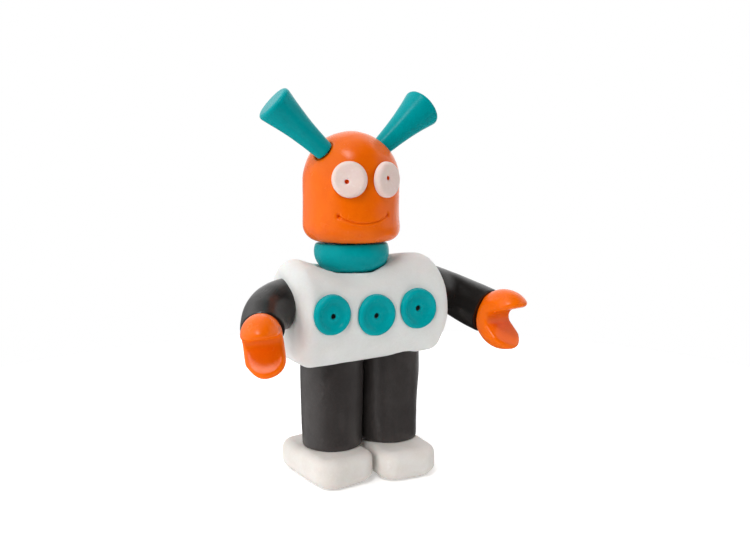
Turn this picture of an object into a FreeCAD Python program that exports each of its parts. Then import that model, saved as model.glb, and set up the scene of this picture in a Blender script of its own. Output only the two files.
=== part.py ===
import FreeCAD, Part
import math
import os
import Sketcher

# A small standing robot figure of modelling clay on wooden pins.
# Millimetres, +Z up, the figure faces -Y and its right hand is on the -X side.
# The origin is on the ground, under the middle of the whole figure.

DIMENSIONS = {
    # where the torso axis stands, measured from the middle of the figure
    "stand_x": -3.11,
    "stand_y": 3.09,
    # torso: a log lying along X, round above its axis and pressed flat underneath
    "torso_radius": 13.4,
    "torso_length": 41.0,
    "torso_height": 43.1,
    "torso_rounding": 3.6,
    "torso_flank_curve": 18.4,
    "torso_sole_half": 8.6,
    "torso_sole_depth": 12.4,
    "torso_sole_rounding": 4.3,
    # neck: a flattened ball pressed into a shallow dip in the torso's top
    "neck_x": -2.1,
    "neck_foot_radius": 5.7,
    "neck_top_radius": 9.2,
    "neck_bulge": 5.5,
    "neck_foot_height": 52.5,
    "neck_top_height": 60.0,
    "neck_dip_radius": 22.0,
    "neck_dip_height": 53.4,
    # head: cylinder with a dome
    "head_radius": 12.4,
    "head_bottom": 60.3,
    "head_straight": 15.5,
    "head_crown": 27.9,
    "head_rounding": 4.4,
    # eyes
    "eye_radius": 4.3,
    "eye_thickness": 1.7,
    "eye_rounding": 0.6,
    "eye_hole_radius": 0.55,
    "poke_depth": 1.5,
    "eye_seat": 11.6,
    "eye_height": 75.9,
    "right_eye_turn": -29.0,
    "left_eye_turn": 20.0,
    # buttons
    "right_button_radius": 4.75,
    "middle_button_radius": 5.05,
    "left_button_radius": 5.1,
    "button_dish_radius": 3.7,
    "button_thickness": 1.8,
    "button_dish_level": 1.2,
    "button_dish_curve": 9.0,
    "button_rounding": 0.6,
    "button_hole_radius": 0.6,
    "button_seat": 12.5,
    "right_button_height": 44.1,
    "middle_button_height": 43.1,
    "left_button_height": 43.8,
    "button_middle_x": -1.95,
    "button_spacing": 12.0,
    # antennas
    "antenna_root_radius": 2.45,
    "right_antenna_tip_radius": 5.0,
    "left_antenna_tip_radius": 5.6,
    "antenna_length": 17.6,
    "antenna_flare": 95.0,
    "antenna_rounding": 0.9,
    "antenna_dimple_radius": 2.8,
    "antenna_gap": 0.3,
    "antenna_rise": 40.0,
    "antenna_sweep": 2.0,
    "right_antenna_x": -11.0,
    "right_antenna_y": -3.4,
    "right_antenna_height": 82.7,
    "left_antenna_x": 5.7,
    "left_antenna_y": -0.9,
    "left_antenna_height": 84.0,
    # legs
    "leg_spacing": 15.9,
    "leg_top_radius": 8.5,
    "leg_foot_radius": 7.8,
    "leg_top_height": 40.0,
    "leg_gap": 0.1,
    "right_leg_y": 0.0,
    "left_leg_y": -1.2,
    # feet
    "foot_length": 25.4,
    "foot_width": 16.0,
    "foot_height": 7.8,
    "foot_corner": 4.6,
    "foot_rounding": 2.2,
    "right_foot_x": -9.9,
    "right_foot_y": -0.7,
    "right_foot_turn": 5.6,
    "left_foot_x": 7.9,
    "left_foot_y": -3.4,
    "left_foot_turn": -3.4,
    # arms
    "right_arm_root_radius": 6.3,
    "left_arm_root_radius": 6.0,
    "right_arm_wrist_radius": 5.2,
    "left_arm_wrist_radius": 6.2,
    "right_arm_pull": 4.8,
    "left_arm_pull": 6.5,
    "arm_wrist_pull": 5.0,
    "arm_stations": 6,
    "shoulder_gap": 0.3,
    "right_shoulder_y": -1.3,
    "right_shoulder_height": 45.6,
    "right_arm_drop": 3.0,
    "left_shoulder_y": 0.4,
    "left_shoulder_height": 47.3,
    "left_arm_drop": 17.0,
    # hands: a thick disc with bulging sides and a wedge-shaped mouth
    "right_hand_half_thickness": 4.7,
    "left_hand_half_thickness": 5.3,
    "right_hand_face_radius": 4.4,
    "left_hand_face_radius": 5.1,
    "right_hand_bulge": 5.11,
    "left_hand_bulge": 6.08,
    "hand_back": 5.6,
    "hand_mouth_radius": 2.2,
    "hand_mouth_angle": 31.0,
    "hand_mouth_reach": 12.0,
    "hand_mouth_rounding": 0.9,
    "wrist_gap": 0.3,
    "right_wrist_drop": 26.5,
    "left_wrist_drop": 14.5,
    "right_wrist_roll": 8.0,
    "left_wrist_roll": 0.0,
    "right_wrist_turn": 23.0,
    "left_wrist_turn": 12.0,
    "right_hand_x": -31.9,
    "right_hand_y": -13.5,
    "right_hand_height": 38.3,
    "left_hand_x": 38.2,
    "left_hand_y": -12.3,
    "left_hand_height": 38.4,
    # wooden pins and their bores: held in the first piece, free in the next one
    "pin_radius": 1.1,
    "pin_chamfer": 0.7,
    "pin_clearance": 0.05,
    "pin_end_room": 0.3,
    "neck_pin_held": 17.0,
    "neck_pin_free": 12.0,
    "shoulder_pin_held": 8.5,
    "shoulder_pin_free": 6.0,
    "wrist_pin_held": 6.0,
    "wrist_pin_free": 3.0,
    "antenna_pin_held": 5.0,
    "antenna_pin_free": 7.0,
    "leg_dowel_held": 5.8,
    "leg_dowel_free": 28.0,
}

doc = FreeCAD.newDocument("RobotFigure")
sheet = doc.addObject("Spreadsheet::Sheet", "Dimensions")
for row, (alias, value) in enumerate(DIMENSIONS.items(), start=1):
    sheet.set(f"A{row}", alias)
    sheet.set(f"B{row}", str(value))
    sheet.setAlias(f"B{row}", alias)
doc.recompute()

X = FreeCAD.Vector(1, 0, 0)
Y = FreeCAD.Vector(0, 1, 0)
Z = FreeCAD.Vector(0, 0, 1)
ORIGIN = FreeCAD.Vector(0, 0, 0)
START, END = 1, 2
SIDES = ("right", "left")
BUTTONS = ("right_button", "middle_button", "left_button")
ROOT, U_AXIS, V_AXIS = -1, -1, -2
parts = []


def dim(alias):
    """The plain number that the sheet holds under this alias."""
    return float(sheet.get(alias))


def bind(feature, prop, alias):
    """Tie a property to a cell, and give it the same value now."""
    feature.setExpression(prop, f"Dimensions.{alias}")


def spot(x, y, z):
    """A point given from the torso axis, moved to where the figure stands."""
    return FreeCAD.Vector(dim("stand_x") + x, dim("stand_y") + y, z)


def aimed(point, direction):
    """A placement at a point, with local +Z along a direction."""
    return FreeCAD.Placement(point, FreeCAD.Rotation(Z, direction))


def level_aimed(point, direction):
    """As aimed, but with local +X level, for a direction that isn't upright."""
    return FreeCAD.Placement(point, FreeCAD.Rotation(direction.cross(Z), Z, direction, "ZXY"))


def new_body(label, placement):
    body = doc.addObject("PartDesign::Body", label)
    body.Label = label
    body.Placement = placement
    parts.append(body)
    return body


def origin_plane(body, role):
    for feature in body.Origin.OriginFeatures:
        if feature.Role == role:
            return feature
    raise ValueError(f"no {role} in {body.Label}")


def new_sketch(body, name, role="XY_Plane", offset=None):
    sketch = body.newObject("Sketcher::SketchObject", f"{body.Label}_{name}")
    sketch.AttachmentSupport = [(origin_plane(body, role), "")]
    sketch.MapMode = "FlatFace"
    if offset is not None:
        sketch.AttachmentOffset = offset
    return sketch


def named_constraint(sketch, constraint, name, alias):
    """Add a dimension to a sketch and tie it to a cell."""
    index = sketch.addConstraint(constraint)
    sketch.renameConstraint(index, name)
    bind(sketch, f"Constraints.{name}", alias)


def hold_point(sketch, curve, end, term, along_u):
    """Hold one coordinate of a point: term is 0, an alias, or -alias."""
    if term == "0":
        axis = V_AXIS if along_u else U_AXIS
        sketch.addConstraint(Sketcher.Constraint("PointOnObject", curve, end, axis))
        return
    kind = "DistanceX" if along_u else "DistanceY"
    alias = term.lstrip("-")
    ends = (curve, end, ROOT, 1) if term.startswith("-") else (ROOT, 1, curve, end)
    constraint = Sketcher.Constraint(kind, *ends, dim(alias))
    named_constraint(sketch, constraint, f"{kind}_{curve}_{end}", alias)


def term_value(term):
    if term == "0":
        return 0.0
    return -dim(term[1:]) if term.startswith("-") else dim(term)


def arc_between(start, end, radius, turn):
    """The arc from start to end of this radius; turn is 1 when it runs anticlockwise."""
    chord = end - start
    half = chord.Length / 2
    side = FreeCAD.Vector(-chord.y, chord.x, 0).normalize() * turn
    centre = (start + end) / 2 + side * math.sqrt(radius ** 2 - half ** 2)
    first, last = (start, end) if turn > 0 else (end, start)
    first_angle = math.atan2(first.y - centre.y, first.x - centre.x)
    last_angle = math.atan2(last.y - centre.y, last.x - centre.x)
    if last_angle < first_angle:
        last_angle += 2 * math.pi
    return Part.ArcOfCircle(Part.Circle(centre, Z, radius), first_angle, last_angle)


def outline(sketch, corners, arcs):
    """A closed outline through corners; arcs gives (radius alias, turn) by segment number."""
    points = [FreeCAD.Vector(term_value(u), term_value(v), 0) for u, v in corners]
    heads = []
    for number, start in enumerate(points):
        end = points[(number + 1) % len(points)]
        if number in arcs:
            alias, turn = arcs[number]
            curve = sketch.addGeometry(arc_between(start, end, dim(alias), turn))
            named_constraint(sketch, Sketcher.Constraint("Radius", curve, dim(alias)),
                             f"Radius_{curve}", alias)
            heads.append((START, END) if turn > 0 else (END, START))
        else:
            sketch.addGeometry(Part.LineSegment(start, end))
            heads.append((START, END))
    for number, (u, v) in enumerate(corners):
        following = (number + 1) % len(corners)
        sketch.addConstraint(Sketcher.Constraint(
            "Coincident", number, heads[number][1], following, heads[following][0]))
        hold_point(sketch, number, heads[number][0], u, True)
        hold_point(sketch, number, heads[number][0], v, False)


def circle(sketch, alias):
    curve = sketch.addGeometry(Part.Circle(ORIGIN, Z, dim(alias)))
    sketch.addConstraint(Sketcher.Constraint("Coincident", curve, 3, ROOT, 1))
    named_constraint(sketch, Sketcher.Constraint("Radius", curve, dim(alias)), "Radius", alias)


def pad(body, sketch, length, midplane=False):
    feature = body.newObject("PartDesign::Pad", f"{body.Label}_pad")
    feature.Profile = sketch
    bind(feature, "Length", length)
    feature.Midplane = midplane
    doc.recompute()
    return feature


def revolve(body, sketch, axis):
    feature = body.newObject("PartDesign::Revolution", f"{body.Label}_revolution")
    feature.Profile = sketch
    feature.ReferenceAxis = (sketch, [axis])
    feature.Angle = 360
    doc.recompute()
    return feature


def groove(body, sketch, axis):
    feature = body.newObject("PartDesign::Groove", f"{body.Label}_groove")
    feature.Profile = sketch
    feature.ReferenceAxis = (sketch, [axis])
    feature.Angle = 360
    doc.recompute()
    return feature


def fillet(body, alias, chosen):
    """Round the edges of the body that a test picks."""
    base = body.Tip
    names = [f"Edge{number}" for number, edge in enumerate(base.Shape.Edges, start=1)
             if not edge.Degenerated and chosen(edge)]
    feature = body.newObject("PartDesign::Fillet", f"{body.Label}_fillet")
    feature.Base = (base, names)
    bind(feature, "Radius", alias)
    doc.recompute()
    return feature


def cut(body, kind, name, sizes, placement):
    """Take a primitive (Cylinder or Box) out of a body, placed in the figure's frame."""
    before = body.Tip.Shape.Volume
    feature = body.newObject(f"PartDesign::Subtractive{kind}", f"{body.Label}_{name}")
    feature.AttachmentSupport = [(origin_plane(body, "XY_Plane"), "")]
    feature.MapMode = "FlatFace"
    for prop, size in sizes.items():
        if isinstance(size, str):
            feature.setExpression(prop, size)
        else:
            setattr(feature, prop, size)
    feature.AttachmentOffset = body.Placement.inverse().multiply(placement)
    doc.recompute()
    if feature.Shape.Volume > before - 1e-3:
        raise ValueError(f"{feature.Label} cuts nothing")


def bore(body, name, radius, depth, placement):
    """Cut a round hole or seat that starts at a placement and runs along its local +Z."""
    cut(body, "Cylinder", name, {"Radius": radius, "Height": depth}, placement)


def flat_ring(level, radius=None):
    """A test for round edges in the plane z = level of the body's own frame."""
    def chosen(edge):
        if not isinstance(edge.Curve, Part.Circle):
            return False
        same_size = radius is None or abs(edge.Curve.Radius - radius) < 1e-6
        return abs(edge.Curve.Center.z - level) < 1e-6 and same_size
    return chosen


# ---- where things are and which way they point ----

def side_sign(side):
    return -1 if side == "right" else 1


def bearing(turn, drop=0.0):
    """Unit vector: -Y turned about Z by `turn` degrees, then dropped below the horizon."""
    turn_angle = math.radians(turn)
    drop_angle = math.radians(drop)
    level = math.cos(drop_angle)
    return FreeCAD.Vector(math.sin(turn_angle) * level, -math.cos(turn_angle) * level,
                          -math.sin(drop_angle))


def shoulder(side):
    """Centre of an arm's flat inner face."""
    reach = dim("torso_length") / 2 + dim("shoulder_gap")
    return spot(side_sign(side) * reach, dim(f"{side}_shoulder_y"), dim(f"{side}_shoulder_height"))


def wrist_direction(side):
    return bearing(side_sign(side) * dim(f"{side}_wrist_turn"), dim(f"{side}_wrist_drop"))


def hand_placement(side):
    """At the middle of the claw: local +Z out of the mouth, local X across the jaws."""
    centre = spot(dim(f"{side}_hand_x"), dim(f"{side}_hand_y"), dim(f"{side}_hand_height"))
    forward = wrist_direction(side)
    across = Z.cross(forward) * -1
    level = FreeCAD.Rotation(across, Z, forward, "ZXY")
    roll = FreeCAD.Rotation(Z, dim(f"{side}_wrist_roll"))
    return FreeCAD.Placement(centre, level.multiply(roll))


def wrist(side):
    """Centre of an arm's flat outer end."""
    reach = dim("hand_back") + dim("wrist_gap")
    return hand_placement(side).Base - wrist_direction(side) * reach


def antenna_direction(side):
    rise = math.radians(dim("antenna_rise"))
    sweep = math.radians(dim("antenna_sweep"))
    return FreeCAD.Vector(side_sign(side) * math.cos(rise) * math.cos(sweep),
                          math.cos(rise) * math.sin(sweep), math.sin(rise))


def antenna_root(side):
    return spot(dim(f"{side}_antenna_x"), dim(f"{side}_antenna_y"), dim(f"{side}_antenna_height"))


def eye_placement(side):
    facing = bearing(dim(f"{side}_eye_turn"))
    return aimed(spot(dim("neck_x"), 0, dim("eye_height")) + facing * dim("eye_seat"), facing)


def button_placement(number):
    """Buttons 0, 1 and 2 run from the right side to the left side."""
    x = dim("button_middle_x") + (number - 1) * dim("button_spacing")
    height = dim(f"{BUTTONS[number]}_height")
    return aimed(spot(x, -dim("button_seat"), height), -Y)


def foot_placement(side):
    place = spot(dim(f"{side}_foot_x"), dim(f"{side}_foot_y"), 0)
    return FreeCAD.Placement(place, FreeCAD.Rotation(Z, dim(f"{side}_foot_turn")))


def leg_base(side):
    return spot(side_sign(side) * dim("leg_spacing") / 2, dim(f"{side}_leg_y"), dim("foot_height"))


# ---- wooden pins ----

class Pin:
    """A wooden pin: `held` is the length behind its seat, `free` the length in front of it."""

    def __init__(self, label, kind, seat, direction):
        self.label = label
        self.kind = kind
        self.direction = direction
        self.base = seat - direction * dim(f"{kind}_held")
        self.length = dim(f"{kind}_held") + dim(f"{kind}_free")

    def bore(self, body, turning=False):
        """Cut this pin's hole into a body; a piece that turns on the pin gets clearance."""
        radius = "Dimensions.pin_radius"
        if turning:
            radius += " + Dimensions.pin_clearance"
        room = dim("pin_end_room")
        start = aimed(self.base - self.direction * room, self.direction)
        bore(body, f"{self.label}_bore", radius, self.length + 2 * room, start)

    def build(self):
        body = new_body(self.label, aimed(self.base, self.direction))
        rod = body.newObject("PartDesign::AdditiveCylinder", f"{self.label}_rod")
        rod.AttachmentSupport = [(origin_plane(body, "XY_Plane"), "")]
        rod.MapMode = "FlatFace"
        bind(rod, "Radius", "pin_radius")
        rod.setExpression("Height", f"Dimensions.{self.kind}_held + Dimensions.{self.kind}_free")
        doc.recompute()
        ends = [f"Edge{number}" for number, edge in enumerate(rod.Shape.Edges, start=1)
                if isinstance(edge.Curve, Part.Circle)]
        chamfer = body.newObject("PartDesign::Chamfer", f"{self.label}_ends")
        chamfer.Base = (rod, ends)
        bind(chamfer, "Size", "pin_chamfer")
        doc.recompute()


neck_pin = Pin("neck_pin", "neck_pin", spot(dim("neck_x"), 0, dim("neck_top_height")), Z)
shoulder_pins = {side: Pin(f"{side}_shoulder_pin", "shoulder_pin", shoulder(side), X * side_sign(side))
                 for side in SIDES}
wrist_pins = {side: Pin(f"{side}_wrist_pin", "wrist_pin", wrist(side), wrist_direction(side))
              for side in SIDES}
antenna_pins = {side: Pin(f"{side}_antenna_pin", "antenna_pin", antenna_root(side),
                          antenna_direction(side)) for side in SIDES}
leg_dowels = {side: Pin(f"{side}_leg_dowel", "leg_dowel", leg_base(side), Z) for side in SIDES}


# ---- clay pieces ----

def torso_outline(sketch):
    """The log's cross-section: half a circle over two flanks and a flat sole."""
    outline(sketch, [("torso_radius", "0"), ("0", "torso_radius"), ("-torso_radius", "0"),
                     ("-torso_sole_half", "-torso_sole_depth"),
                     ("torso_sole_half", "-torso_sole_depth")],
            {0: ("torso_radius", 1), 1: ("torso_radius", 1), 2: ("torso_flank_curve", 1),
             4: ("torso_flank_curve", 1)})


def neck_outline(sketch):
    """Half of the neck's profile, beside its upright axis."""
    outline(sketch, [("0", "neck_foot_height"), ("neck_foot_radius", "neck_foot_height"),
                     ("neck_top_radius", "neck_top_height"), ("0", "neck_top_height")],
            {1: ("neck_bulge", 1)})


def make_torso():
    body = new_body("torso", FreeCAD.Placement(spot(0, 0, dim("torso_height")), FreeCAD.Rotation()))
    section = new_sketch(body, "section", "YZ_Plane")
    torso_outline(section)
    pad(body, section, "torso_length", midplane=True)
    fillet(body, "torso_sole_rounding",
           lambda edge: all(abs(vertex.Z + dim("torso_sole_depth")) < 1e-6
                            for vertex in edge.Vertexes) and abs(edge.CenterOfMass.x) < 1e-6)
    ends = dim("torso_length") / 2
    fillet(body, "torso_rounding", lambda edge: abs(abs(edge.CenterOfMass.x) - ends) < 1e-6)
    dip = spot(dim("neck_x"), 0, dim("neck_dip_height") + dim("neck_dip_radius"))
    cut(body, "Sphere", "neck_dip", {"Radius": "Dimensions.neck_dip_radius"},
        FreeCAD.Placement(dip, FreeCAD.Rotation()))
    seat_offset = FreeCAD.Vector(dim("neck_x"), -dim("torso_height"), 0)
    seat_sketch = new_sketch(body, "neck_seat", "XZ_Plane",
                             FreeCAD.Placement(seat_offset, FreeCAD.Rotation()))
    neck_outline(seat_sketch)
    groove(body, seat_sketch, "V_Axis")
    for number, name in enumerate(BUTTONS):
        seat = button_placement(number)
        bore(body, f"{name}_seat", f"Dimensions.{name}_radius + Dimensions.pin_clearance",
             dim("button_thickness"), seat)
        poke = aimed(seat.Base + Y * dim("poke_depth"), -Y)
        bore(body, f"{name}_poke", "Dimensions.button_hole_radius", dim("poke_depth"), poke)
    for pin in (neck_pin, *shoulder_pins.values(), *leg_dowels.values()):
        pin.bore(body)


def make_neck():
    body = new_body("neck", FreeCAD.Placement(spot(dim("neck_x"), 0, 0), FreeCAD.Rotation()))
    profile = new_sketch(body, "profile", "XZ_Plane")
    neck_outline(profile)
    revolve(body, profile, "V_Axis")
    neck_pin.bore(body)


def make_head():
    body = new_body("head", FreeCAD.Placement(spot(dim("neck_x"), 0, dim("head_bottom")),
                                              FreeCAD.Rotation()))
    profile = new_sketch(body, "profile", "XZ_Plane")
    outline(profile, [("0", "0"), ("head_radius", "0"), ("head_radius", "head_straight"),
                      ("0", "head_crown")], {2: ("head_radius", 1)})
    revolve(body, profile, "V_Axis")
    fillet(body, "head_rounding", flat_ring(0.0))
    for side in SIDES:
        seat = eye_placement(side)
        outward = seat.Rotation.multVec(Z)
        bore(body, f"{side}_eye_seat", "Dimensions.eye_radius + Dimensions.pin_clearance",
             dim("eye_thickness") + dim("eye_seat"), seat)
        poke = aimed(seat.Base - outward * dim("poke_depth"), outward)
        bore(body, f"{side}_eye_poke", "Dimensions.eye_hole_radius", dim("poke_depth"), poke)
        direction = antenna_direction(side)
        dimple = aimed(antenna_root(side) - direction * dim("antenna_gap"), direction)
        bore(body, f"{side}_antenna_dimple", "Dimensions.antenna_dimple_radius",
             dim("antenna_length"), dimple)
        antenna_pins[side].bore(body)
    neck_pin.bore(body, turning=True)


def make_eye(side):
    body = new_body(f"{side}_eye", eye_placement(side))
    face = new_sketch(body, "face")
    circle(face, "eye_radius")
    pad(body, face, "eye_thickness")
    fillet(body, "eye_rounding", flat_ring(dim("eye_thickness")))
    bore(body, "pupil", "Dimensions.eye_hole_radius", dim("eye_thickness"), body.Placement)


def make_button(number):
    name = BUTTONS[number]
    body = new_body(name, button_placement(number))
    profile = new_sketch(body, "profile", "XZ_Plane")
    outline(profile, [("button_hole_radius", "0"), (f"{name}_radius", "0"),
                      (f"{name}_radius", "button_thickness"),
                      ("button_dish_radius", "button_thickness"),
                      ("button_hole_radius", "button_dish_level")],
            {3: ("button_dish_curve", -1)})
    revolve(body, profile, "V_Axis")
    fillet(body, "button_rounding", flat_ring(dim("button_thickness"), dim(f"{name}_radius")))


def make_antenna(side):
    body = new_body(f"{side}_antenna", aimed(antenna_root(side), antenna_direction(side)))
    profile = new_sketch(body, "profile", "XZ_Plane")
    outline(profile, [("0", "0"), ("antenna_root_radius", "0"),
                      (f"{side}_antenna_tip_radius", "antenna_length"), ("0", "antenna_length")],
            {1: ("antenna_flare", -1)})
    revolve(body, profile, "V_Axis")
    fillet(body, "antenna_rounding", flat_ring(dim("antenna_length")))
    antenna_pins[side].bore(body, turning=True)


def arm_centreline(side):
    """A smooth bend from the torso's side to the wrist."""
    sign = side_sign(side)
    drop = math.radians(dim(f"{side}_arm_drop"))
    outward = FreeCAD.Vector(sign * math.cos(drop), 0, -math.sin(drop))
    end = wrist(side)
    curve = Part.BezierCurve()
    curve.setPoles([shoulder(side), shoulder(side) + outward * dim(f"{side}_arm_pull"),
                    end - wrist_direction(side) * dim("arm_wrist_pull"), end])
    return curve


def make_arm(side):
    body = new_body(f"{side}_arm", FreeCAD.Placement(shoulder(side), FreeCAD.Rotation()))
    curve = arm_centreline(side)
    root = f"{side}_arm_root_radius"
    inward = curve.tangent(0)[0] * -dim(root)
    stations = [level_aimed(curve.value(0) + inward, -inward)]
    steps = int(dim("arm_stations"))
    stations += [level_aimed(curve.value(step / steps), curve.tangent(step / steps)[0])
                 for step in range(steps + 1)]
    rings = []
    for number, station in enumerate(stations):
        ring = new_sketch(body, f"ring_{number}", offset=body.Placement.inverse().multiply(station))
        along = max(number - 1, 0) / steps
        curve_index = ring.addGeometry(Part.Circle(ORIGIN, Z, dim(root)))
        ring.addConstraint(Sketcher.Constraint("Coincident", curve_index, 3, ROOT, 1))
        ring.addConstraint(Sketcher.Constraint("Radius", curve_index, dim(root)))
        ring.renameConstraint(1, "Radius")
        ring.setExpression("Constraints.Radius",
                           f"Dimensions.{root} * {1 - along}"
                           f" + Dimensions.{side}_arm_wrist_radius * {along}")
        rings.append(ring)
    doc.recompute()
    loft = body.newObject("PartDesign::AdditiveLoft", f"{side}_arm_loft")
    loft.Profile = rings[0]
    loft.Sections = rings[1:]
    doc.recompute()
    block = 4 * dim(root)
    corner = FreeCAD.Vector(-block if side == "left" else 0, -block / 2, -block / 2)
    cut(body, "Box", "shoulder_face", {"Length": block, "Width": block, "Height": block},
        FreeCAD.Placement(shoulder(side) + corner, FreeCAD.Rotation()))
    shoulder_pins[side].bore(body, turning=True)
    wrist_pins[side].bore(body)


def mouth_sketch(body):
    """A rounded slot end with jaws that open by an angle each side of the claw's middle."""
    radius = dim("hand_mouth_radius")
    slope = math.radians(dim("hand_mouth_angle"))
    reach = dim("hand_mouth_reach")
    touch = FreeCAD.Vector(radius * math.cos(slope), -radius * math.sin(slope), 0)
    run = (reach + touch.y * -1) * math.tan(slope)
    far = FreeCAD.Vector(touch.x + run, reach, 0)
    mirrored = [FreeCAD.Vector(-point.x, point.y, 0) for point in (touch, far)]
    sketch = new_sketch(body, "mouth", "YZ_Plane")
    sketch.addGeometry(Part.ArcOfCircle(Part.Circle(ORIGIN, Z, radius), math.pi + slope,
                                        2 * math.pi - slope))
    sketch.addGeometry(Part.LineSegment(touch, far))
    sketch.addGeometry(Part.LineSegment(far, mirrored[1]))
    sketch.addGeometry(Part.LineSegment(mirrored[1], mirrored[0]))
    sketch.addConstraint(Sketcher.Constraint("Coincident", 0, 3, ROOT, 1))
    sketch.addConstraint(Sketcher.Constraint("Tangent", 0, END, 1, START))
    sketch.addConstraint(Sketcher.Constraint("Coincident", 1, END, 2, START))
    sketch.addConstraint(Sketcher.Constraint("Coincident", 2, END, 3, START))
    sketch.addConstraint(Sketcher.Constraint("Tangent", 3, END, 0, START))
    sketch.addConstraint(Sketcher.Constraint("Symmetric", 1, END, 2, END, V_AXIS))
    named_constraint(sketch, Sketcher.Constraint("Radius", 0, radius), "Radius", "hand_mouth_radius")
    named_constraint(sketch, Sketcher.Constraint("DistanceY", ROOT, 1, 1, END, reach), "Reach",
                     "hand_mouth_reach")
    doc.recompute()
    return sketch


def is_mouth_face(face):
    """Faces of the claw's mouth: they run straight across the hand, and aren't its back."""
    surface = face.Surface
    if isinstance(surface, Part.Cylinder):
        return abs(surface.Radius - dim("hand_mouth_radius")) < 1e-6
    if isinstance(surface, Part.Plane):
        return abs(surface.Axis.x) < 1e-6 and abs(surface.Axis.z) < 0.99
    return False


def make_hand(side):
    body = new_body(f"{side}_hand", hand_placement(side))
    profile = new_sketch(body, "profile", "XY_Plane")
    half, face_radius = f"{side}_hand_half_thickness", f"{side}_hand_face_radius"
    outline(profile, [(f"-{half}", "0"), (half, "0"), (half, face_radius), (f"-{half}", face_radius)],
            {2: (f"{side}_hand_bulge", 1)})
    revolve(body, profile, "H_Axis")
    mouth = mouth_sketch(body)
    pocket = body.newObject("PartDesign::Pocket", f"{side}_hand_pocket")
    pocket.Profile = mouth
    pocket.Type = "ThroughAll"
    pocket.Midplane = True
    doc.recompute()
    block = 6 * dim(half)
    back = body.Placement.multiply(FreeCAD.Placement(
        FreeCAD.Vector(-block / 2, -block / 2, -dim("hand_back") - block), FreeCAD.Rotation()))
    cut(body, "Box", "back", {"Length": block, "Width": block, "Height": block}, back)
    mouth_edges = [edge for face in body.Tip.Shape.Faces if is_mouth_face(face) for edge in face.Edges
                   if not (isinstance(edge.Curve, Part.Line) and abs(edge.Curve.Direction.x) > 0.99)]
    fillet(body, "hand_mouth_rounding", lambda edge: any(edge.isSame(other) for other in mouth_edges))
    wrist_pins[side].bore(body, turning=True)


def make_leg(side):
    base = leg_base(side)
    body = new_body(f"{side}_leg", FreeCAD.Placement(base, FreeCAD.Rotation()))
    lower = new_sketch(body, "lower")
    circle(lower, "leg_foot_radius")
    upper = new_sketch(body, "upper", offset=FreeCAD.Placement(
        Z * (dim("leg_top_height") - dim("foot_height")), FreeCAD.Rotation()))
    circle(upper, "leg_top_radius")
    loft = body.newObject("PartDesign::AdditiveLoft", f"{side}_leg_loft")
    loft.Profile = lower
    loft.Sections = [upper]
    doc.recompute()
    axis = spot(0, 0, dim("torso_height")) - base
    section = new_sketch(body, "torso_section", "YZ_Plane", FreeCAD.Placement(
        FreeCAD.Vector(axis.y, axis.z, 0), FreeCAD.Rotation()))
    torso_outline(section)
    pocket = body.newObject("PartDesign::Pocket", f"{side}_leg_top")
    pocket.Profile = section
    pocket.Type = "ThroughAll"
    pocket.Midplane = True
    doc.recompute()
    block = 2 * dim("leg_top_height")
    near = side_sign(side) * dim("leg_gap") / 2
    corner = FreeCAD.Vector(near - (block if side == "left" else 0), -block / 2, 0)
    cut(body, "Box", "inner_flat", {"Length": block, "Width": block, "Height": block},
        FreeCAD.Placement(spot(0, 0, 0) + corner, FreeCAD.Rotation()))
    leg_dowels[side].bore(body)


def make_foot(side):
    body = new_body(f"{side}_foot", foot_placement(side))
    block = body.newObject("PartDesign::AdditiveBox", f"{side}_foot_block")
    block.AttachmentSupport = [(origin_plane(body, "XY_Plane"), "")]
    block.MapMode = "FlatFace"
    bind(block, "Length", "foot_width")
    bind(block, "Width", "foot_length")
    bind(block, "Height", "foot_height")
    block.AttachmentOffset = FreeCAD.Placement(
        FreeCAD.Vector(-dim("foot_width") / 2, -dim("foot_length") / 2, 0), FreeCAD.Rotation())
    doc.recompute()
    fillet(body, "foot_corner", lambda edge: abs(edge.Vertexes[0].Z - edge.Vertexes[1].Z) > 1)
    levels = (0, dim("foot_height"))
    fillet(body, "foot_rounding",
           lambda edge: any(abs(edge.CenterOfMass.z - level) < 1e-6 for level in levels))
    leg_dowels[side].bore(body)


make_torso()
make_neck()
make_head()
for side in SIDES:
    make_eye(side)
    make_antenna(side)
for number in range(len(BUTTONS)):
    make_button(number)
for side in SIDES:
    make_arm(side)
    make_hand(side)
    make_leg(side)
    make_foot(side)
for pin in (neck_pin, *shoulder_pins.values(), *wrist_pins.values(), *antenna_pins.values(),
            *leg_dowels.values()):
    pin.build()
doc.recompute()

for item in doc.Objects:
    if "Invalid" in item.State or "Error" in item.State:
        raise RuntimeError(f"{item.Label} failed: {item.State}")
for body in parts:
    if body.Shape.isNull() or not body.Shape.isValid() or len(body.Shape.Solids) != 1:
        raise RuntimeError(f"{body.Label} has a bad shape")

os.makedirs("parts", exist_ok=True)
for body in parts:
    body.Shape.exportStep(os.path.join("parts", f"{body.Label}.step"))
    print(f"{body.Label:22s} {body.Shape.Volume:9.1f} mm3")
box = Part.makeCompound([body.Shape for body in parts]).BoundBox
print("figure box", [round(value, 2) for value in
                     (box.XMin, box.XMax, box.YMin, box.YMax, box.ZMin, box.ZMax)])
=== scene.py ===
import math

import bmesh
import bpy
import numpy as np
from mathutils import Matrix, Vector, noise


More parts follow.
